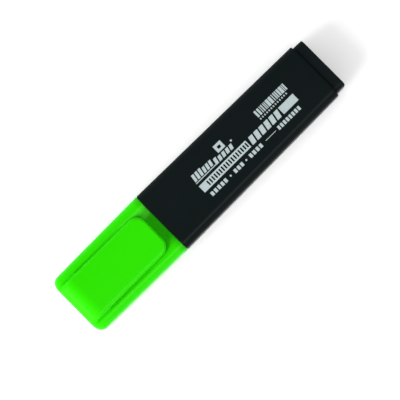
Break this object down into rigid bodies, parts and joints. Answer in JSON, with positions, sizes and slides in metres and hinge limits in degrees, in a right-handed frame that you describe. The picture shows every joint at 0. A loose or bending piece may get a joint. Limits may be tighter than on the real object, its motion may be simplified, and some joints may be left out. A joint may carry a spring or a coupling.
{
  "type": "highlighter",
  "caption": "Flat rectangular highlighter pen with a pull-off cap, a broad flexing clip on the cap, a felt chisel nib in an oval nose and an inset end plug.",
  "frame": {"origin": "centre of the outline at the plane of the flat back, on which the pen lies", "axes": "+X along the pen, from the cap's closed end to the end plug; +Z out of the printed front face and the clip; +Y across the pen"},
  "size_m": [0.122, 0.0254, 0.0159],
  "materials": {
    "barrel_black": "satin moulded polypropylene",
    "plug_black": "satin moulded polypropylene",
    "cap_green": "fluorescent green moulded polypropylene",
    "nib_felt": "bonded polyester felt, soaked with green ink",
    "reservoir_fibre": "lengthwise polyester fibre, soaked with green ink",
    "clear_film": "clear film",
    "natural_plastic": "natural polyethylene",
    "print_silver": null
  },
  "bodies": {
    "pen": {"barrel": "barrel_black", "end_plug": "plug_black", "nib_holder": "plug_black", "nib": "nib_felt", "ink_reservoir": "reservoir_fibre", "reservoir_film": "clear_film", "breather_tube": "natural_plastic"},
    "cap": {"cap_shell": "cap_green", "inner_cap": "natural_plastic"},
    "clip_arm": {"clip": "cap_green"}
  },
  "joints": [
    {"name": "cap_pull", "type": "slide", "parent": "pen", "child": "cap", "axis": [-1, 0, 0], "range_m": [0, 0.045]},
    {"name": "clip_flex", "type": "hinge", "parent": "cap", "child": "clip_arm", "pos_m": [-0.052, 0, 0.01583], "axis": [0, -1, 0], "range_deg": [0, 4], "stiffness_Nm_per_rad": 2.5}
  ]
}
